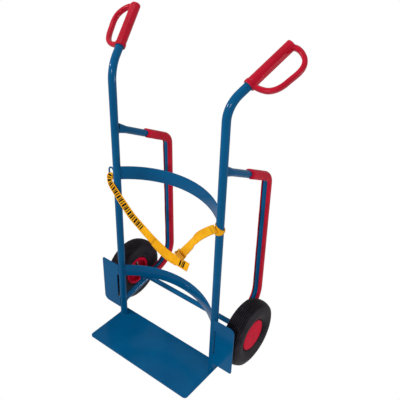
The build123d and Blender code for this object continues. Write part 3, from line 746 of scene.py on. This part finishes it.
def guard(hand, s, top_r, low_r):
    """Guard plate welded to the tube above and below a slot that lets the plate clear the tube's side."""
    (x0, x1), (z0, z1) = GUARD_X, GUARD_Z
    outline = [(x0, z0)]
    for cx, cz, r, start in ((x1 - low_r, z0 + low_r, low_r, -90.0), (x1 - top_r, z1 - top_r, top_r, 0.0)):
        outline += [(cx + r * math.cos(a), cz + r * math.sin(a))
                    for a in (math.radians(start + 9.0 * i) for i in range(11))]
    outline += [(x0, z1), (x0, SLOT_Z[1]), (SLOT_X - 2.0, SLOT_Z[1]), (SLOT_X, SLOT_Z[1] - 2.0),
                (SLOT_X, SLOT_Z[0] + 2.0), (SLOT_X - 2.0, SLOT_Z[0]), (x0, SLOT_Z[0])]
    verts, faces = skin([[(s * x, y, z) for x, z in outline] for y in GUARD_Y])
    obj = make("guard_plate_" + hand, verts, faces, "frame", "blue_powder_coat",
               replaces=("wheel_guard_" + hand,))
    obj.data.polygons.foreach_set("use_smooth", [False] * len(obj.data.polygons))
    return obj


def soften(obj, width):
    """Small bevels on the sharp edges, so that they catch the light."""
    weld = obj.modifiers.new("weld", "WELD")
    weld.merge_threshold = 0.01 * MM
    bevel = obj.modifiers.new("bevel", "BEVEL")
    bevel.width = width * MM
    bevel.segments = 2
    bevel.limit_method = "ANGLE"
    bevel.angle_limit = math.radians(50)


soften(guard("right", 1, 20.0, 8.0), 0.7)
soften(guard("left", -1, 8.0, 20.0), 0.7)
for node, width in (("toe_plate", 0.9), ("upper_crossband", 0.8), ("lower_crossband", 0.8),
                    ("axle_saddle_left", 0.8), ("axle_saddle_right", 0.8)):
    soften(NODES[node], width)


# ------------------------------------------------------------------ lashing strap
STRAP_Y = -19.0                          # the strap hangs in front of the tubes
WEB_T = 1.7                              # thickness of the webbing
LANES = 12                               # faces across the webbing


def webbing_piece(name, stations, material, replaces=(), wander=0.5, seed=0.0):
    """Webbing through stations of (centre, width direction, width), with soft waves and ridged edges."""
    centres = smooth_path([c for c, _, _ in stations], 2.0)
    acrosses = [Vector(a).normalized() for _, a, _ in stations]
    # Station number for each sample, so that width and twist follow the same spacing as the centres.
    pts = [Vector(c) for c, _, _ in stations]
    marks = []
    for i in range(len(pts) - 1):
        count = max(2, round((pts[i + 1] - pts[i]).length / 2.0))
        marks += [i + j / count for j in range(count)]
    marks.append(len(pts) - 1.0)
    rings, uvs = [], []
    run = 0.0
    for n, (p, mark) in enumerate(zip(centres, marks)):
        i = min(int(mark), len(pts) - 2)
        t = mark - i
        t = t * t * (3 - 2 * t)
        width = stations[i][2] * (1 - t) + stations[i + 1][2] * t
        across = acrosses[i].lerp(acrosses[i + 1], t).normalized()
        tangent = (centres[min(n + 1, len(centres) - 1)] - centres[max(n - 1, 0)]).normalized()
        across = (across - tangent * across.dot(tangent)).normalized()
        normal = tangent.cross(across)
        if n:
            run += (p - centres[n - 1]).length
        ring = []
        for side in (1, -1):
            for j in range(LANES + 1):
                u = (j / LANES - 0.5) * side
                slow = math.sin(run / 17.0 + seed + 2.0 * u) * 0.6
                quick = math.sin(run / 6.3 + 3.0 * seed - 5 * u) * 0.25
                lift = wander * (slow + quick)
                edge = 0.5 + 0.5 * min(1.0, (0.5 - abs(u)) * 10)
                thick = WEB_T / 2 * (edge + 0.22 * math.exp(-((abs(u) - 0.44) / 0.03) ** 2))
                ring.append(p + across * (u * width) + normal * (side * thick + lift))
                uvs.append(((u + 0.5) * WEB_W, run))
        rings.append(ring)
    verts, faces = skin(rings)
    return make(name, verts, faces, "frame", "yellow_webbing", material, replaces, uvs)


def flat_stations(points, y, lean):
    """Stations for a run in front of the tubes.

    Each point is (x, z), at depth y, or (x, z, its own depth). lean, one angle or one for each point,
    tips the upper edge back, in degrees.
    """
    stations = []
    for i, (x, z, *own_y) in enumerate(points):
        before, after = points[max(i - 1, 0)], points[min(i + 1, len(points) - 1)]
        t = Vector((after[0] - before[0], 0, after[1] - before[1])).normalized()
        flat = Vector((-t.z, 0, t.x))
        tip = math.radians(lean[i] if isinstance(lean, (list, tuple)) else lean)
        centre = Vector((x, own_y[0] if own_y else y, z))
        stations.append((centre, flat * math.cos(tip) + Vector((0, math.sin(tip), 0)), WEB_W))
    return stations


EYE_X = -249.4                           # the hanging eye on the left main tube
LEFT_LINE = ((-219.0, 600.0), (-184.0, 565.0), (-144.5, 528.0), (-107.0, 504.0), (-69.5, 481.5),
             (-30.5, 461.0), (12.5, 442.5), (38.0, 436.5), (66.0, 434.0))
LEFT_LEAN = (8, 16, 20, 20, 20, 22, 24, 24, 24)
printed = webbing("webbing_printed", (34.0, 262.0), (322.0, 325.5))

# From behind the eye over its top and down in front of it, where the webbing is bunched.
left = [
    (Vector((EYE_X + 6.0, 6.6, 622.0)), (1.0, 0, 0.2), 18.0),
    (Vector((EYE_X + 1.0, 7.0, 634.0)), (1.0, 0, 0.1), 15.0),
    (Vector((EYE_X, 4.6, 644.6)), (1.0, 0, 0.0), 17.0),
    (Vector((EYE_X, 0.0, 647.4)), (1.0, 0, 0), 18.0),
    (Vector((EYE_X - 0.8, -5.6, 644.6)), (1.0, 0, 0.02), 22.0),
    (Vector((EYE_X - 1.6, -8.2, 637.0)), (1.0, 0, 0.06), 27.0),
    (Vector((-249.6, -10.5, 628.0)), (0.95, 0, 0.30), 27.5),
    (Vector((-243.7, -14.0, 619.0)), (0.86, 0, 0.50), 29.0),
    (Vector((-233.5, -17.0, 610.5)), (0.77, 0.06, 0.64), WEB_W),
]
left += flat_stations(LEFT_LINE, STRAP_Y, LEFT_LEAN)
strap = webbing_piece("strap_left_webbing", left, printed, ("strap_left", "strap_eye_loop"))

PLY_LINE = ((-40.0, 457.5), (-14.0, 443.5), (14.0, 431.0), (38.0, 426.0), (64.0, 424.5))
ply_stations = flat_stations(PLY_LINE, STRAP_Y + 2.6, 24)
ply = webbing_piece("strap_left_ply", ply_stations, webbing("webbing_ply", seams=(5.0, 8.5)),
                    wander=0.3, seed=1.3)

TAIL_LINE = ((64.0, 438.5), (80.0, 438.5), (100.0, 437.0), (121.5, 435.5))
tail_stations = flat_stations(TAIL_LINE, -26.5, 26)
tail = webbing_piece("strap_tail_webbing", tail_stations, webbing("webbing_tail", (20.0, 44.0)),
                     ("strap_tail",), 0.5, 2.1)

RIGHT_LINE = ((80.5, 461.0, -16.4), (88.0, 473.5, -16.8), (95.5, 484.5, -17.8), (106.5, 500.5),
              (122.0, 524.5), (135.0, 546.5), (147.5, 566.0), (160.0, 582.0), (175.5, 598.5),
              (191.0, 613.0), (204.0, 624.5), (212.0, 631.0), (219.0, 636.0))
RIGHT_LEAN = (0, 0, 0, 6, 20, 34, 20, 6, 2, 0, 0, 0, 0)
right_stations = flat_stations(RIGHT_LINE, STRAP_Y, RIGHT_LEAN)
strap = webbing_piece("strap_right_webbing", right_stations,
                      webbing("webbing_right", seams=(204.0, 207.5, 219.0, 222.5)),
                      ("strap_right",), 0.8, 0.7)


def tube_loop():
    """The sewn loop round the main tube: full width in front, bunched and slanting down round the back."""
    rings, uvs = [], []
    count = 96
    for i in range(count):
        a = 2 * math.pi * i / count          # 0 is the front left of the tube
        bunch = 0.5 - 0.5 * math.cos(a)
        low = 607.5 + 9.0 * bunch + 0.8 * math.sin(3 * a)
        high = 645.0 - 18.5 * bunch + 0.8 * math.sin(2 * a)
        face = math.radians(215.0) + a
        direction = Vector((math.cos(face), math.sin(face), 0))
        ring = []
        for side, r in ((1, TUBE_R + 3.0), (-1, TUBE_R + 0.7)):
            for j in range(13):
                u = (j / 12 - 0.5) * side
                z = (low + high) / 2 + u * (high - low)
                pucker = 0.5 * math.sin(j * 1.9 + 4 * a) * bunch
                ring.append(Vector((TUBE_X, 0, z)) + direction * (r + pucker))
                uvs.append(((u + 0.5) * WEB_W, 100.0 * i / count))
        rings.append(ring)
    verts, faces = skin(rings, closed_path=True)
    return make("strap_tube_loop_webbing", verts, faces, "frame", "yellow_webbing", MATS["yellow_webbing"],
                ("strap_tube_loop",), uvs)


loop = tube_loop()


# ------------------------------------------------------------------ studio
FLOOR_GLOW, SIDE_GLOW, TOP_GLOW = 0.90, 0.50, 0.60
# Name, place, aim, size in metres and power in watts of each lamp.
LIGHTS = (("key", (-2.6, -2.2, 2.4), (0, 0, 0.5), 0.35, 60),
          ("front", (1.2, -3.4, 2.4), (0, 0, 0.4), 0.35, 60),
          ("side", (4.55, 2.4, -0.4), (0.3, 0.3, 1.0), 0.35, 60),
          ("top", (-0.3, 0.6, 3.8), (0, 0, 0.5), 0.5, 14))


def studio():
    """White to the camera; for light and reflections a dim room with a pale floor and ceiling."""
    world = bpy.data.worlds.new("studio")
    bpy.context.scene.world = world
    world.use_nodes = True
    tree = world.node_tree
    add, link = tree.nodes.new, tree.links.new
    seen = tree.nodes["Background"]
    seen.inputs[0].default_value = (1, 1, 1, 1)
    seen.inputs[1].default_value = 1.0
    room = add("ShaderNodeBackground")
    height = add("ShaderNodeSeparateXYZ")
    link(add("ShaderNodeTexCoord").outputs["Generated"], height.inputs[0])
    shade = add("ShaderNodeMapRange")
    shade.inputs[1].default_value, shade.inputs[2].default_value = -1.0, 1.0
    link(height.outputs[2], shade.inputs[0])
    levels = add("ShaderNodeValToRGB")
    link(shade.outputs[0], levels.inputs[0])
    ramp = levels.color_ramp
    ramp.elements[0].position, ramp.elements[0].color = 0.0, (FLOOR_GLOW,) * 3 + (1,)
    ramp.elements[1].position, ramp.elements[1].color = 1.0, (TOP_GLOW,) * 3 + (1,)
    for position, level in ((0.08, FLOOR_GLOW), (0.15, SIDE_GLOW), (0.80, SIDE_GLOW)):
        ramp.elements.new(position).color = (level, level, level, 1)
    link(levels.outputs[0], room.inputs[0])
    room.inputs[1].default_value = 1.0
    pick = add("ShaderNodeMixShader")
    link(add("ShaderNodeLightPath").outputs["Is Camera Ray"], pick.inputs[0])
    link(room.outputs[0], pick.inputs[1])
    link(seen.outputs[0], pick.inputs[2])
    link(pick.outputs[0], tree.nodes["World Output"].inputs[0])
    for name, place, aim, size, power in LIGHTS:
        data = bpy.data.lights.new(name, "AREA")
        data.size = size
        data.energy = power
        light = bpy.data.objects.new(name, data)
        light.location = place
        light.rotation_mode = "QUATERNION"
        light.rotation_quaternion = (Vector(aim) - Vector(place)).to_track_quat("-Z", "Y")
        light.visible_camera = False
        bpy.context.scene.collection.objects.link(light)
    bpy.context.scene.view_settings.view_transform = "Standard"


studio()

low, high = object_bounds()
